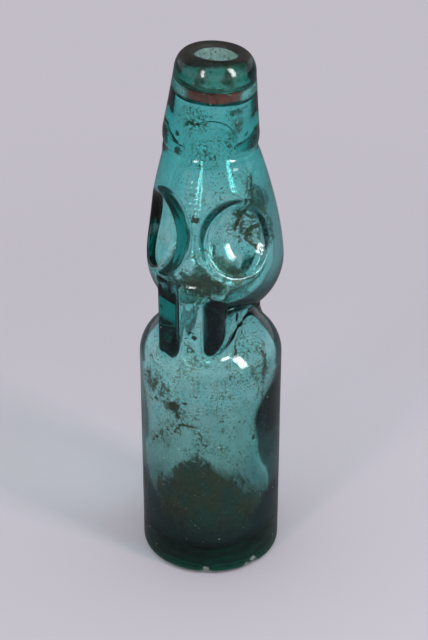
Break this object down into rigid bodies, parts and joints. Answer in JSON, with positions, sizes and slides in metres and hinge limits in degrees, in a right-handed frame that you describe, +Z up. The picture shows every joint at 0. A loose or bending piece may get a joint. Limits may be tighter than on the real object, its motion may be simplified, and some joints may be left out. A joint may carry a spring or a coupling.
{
  "type": "marble-stoppered soda bottle",
  "caption": "Thick teal glass soda bottle with a pinched waist and a loose glass marble that seals against a rubber washer in the lip.",
  "frame": {"origin": "centre of the foot, on the surface that the bottle stands on", "axes": "+Z up along the body, -Y towards the side with the two dimples, +X to that side's right"},
  "size_m": [0.055, 0.055, 0.2131],
  "materials": {
    "teal_glass": "thick hand-blown glass, fire-polished, lightly scratched and stained inside",
    "aged_rubber": "perished red rubber, matt",
    "green_glass": "solid dark green glass, ground round"
  },
  "bodies": {
    "bottle": {"glass_body": "teal_glass", "mouth_collar": "teal_glass", "rubber_washer": "aged_rubber"},
    "marble": {"marble": "green_glass"}
  },
  "joints": [
    {"name": "marble_rise", "type": "slide", "parent": "bottle", "child": "marble", "axis": [0.0119, 0, 0.9999], "range_m": [0, 0.071]}
  ]
}
